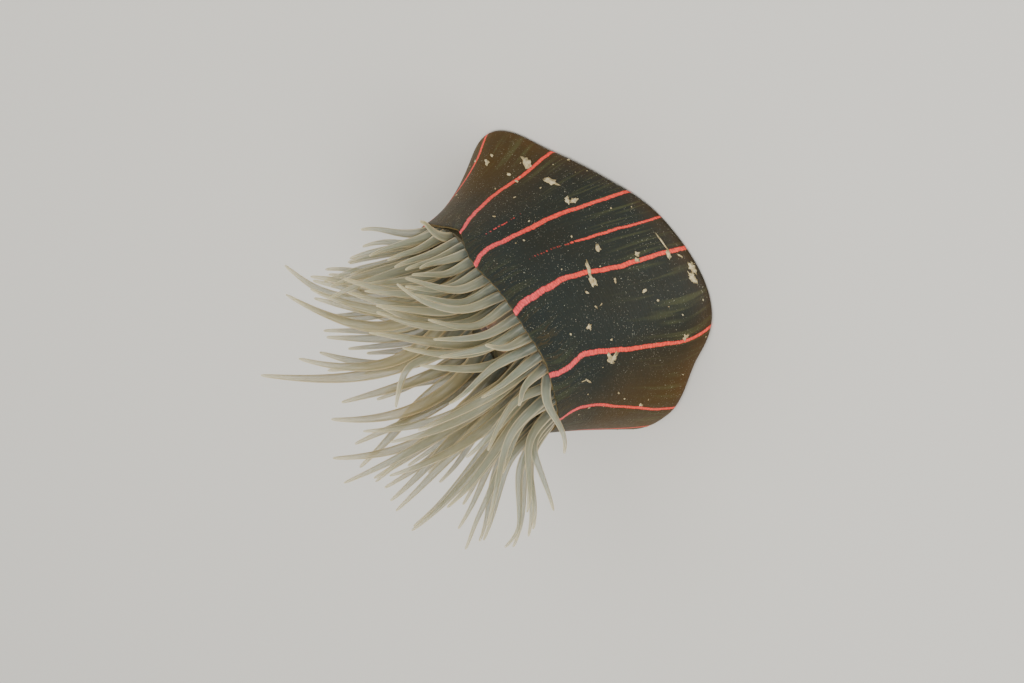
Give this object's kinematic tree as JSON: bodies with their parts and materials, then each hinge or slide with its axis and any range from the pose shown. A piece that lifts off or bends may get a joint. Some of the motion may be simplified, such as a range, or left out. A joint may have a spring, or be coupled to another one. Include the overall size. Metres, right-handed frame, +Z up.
{
  "type": "striped sea anemone",
  "caption": "Small sea anemone standing open: a dark flared column on a flat foot with thin coral stripes, crowned by slender tentacles.",
  "frame": {"origin": "on the flat underside of the foot, under the middle of the column", "axes": "+Z up out of the foot, -Y towards the side where the foot comes to a blunt point; the crown leans towards +Y"},
  "size_m": [0.0284, 0.0299, 0.0235],
  "materials": {
    "column": "wet smooth skin, olive black with coral stripes",
    "foot": "wet smooth skin, rust brown",
    "margin": "wet smooth skin, olive brown",
    "disc": "wet skin, dark olive",
    "lips": "wet folded skin, orange brown",
    "tentacles": "translucent wet skin, grey green"
  },
  "bodies": {
    "root": {"foot": "foot", "column_lower": "column", "column_upper": "column", "margin": "margin", "oral_disc": "disc", "lips": "lips", "tentacles_outer_01": "tentacles", "tentacles_outer_02": "tentacles", "tentacles_outer_03": "tentacles", "tentacles_outer_04": "tentacles", "tentacles_outer_05": "tentacles", "tentacles_outer_06": "tentacles", "tentacles_outer_07": "tentacles", "tentacles_outer_08": "tentacles", "tentacles_outer_09": "tentacles", "tentacles_outer_10": "tentacles", "tentacles_outer_11": "tentacles", "tentacles_outer_12": "tentacles", "tentacles_inner_01": "tentacles", "tentacles_inner_02": "tentacles", "tentacles_inner_03": "tentacles", "tentacles_inner_04": "tentacles", "tentacles_inner_05": "tentacles", "tentacles_inner_06": "tentacles", "tentacles_inner_07": "tentacles", "tentacles_inner_08": "tentacles", "tentacles_inner_09": "tentacles", "tentacles_inner_10": "tentacles", "tentacles_inner_11": "tentacles", "tentacles_inner_12": "tentacles"}
  },
  "joints": []
}
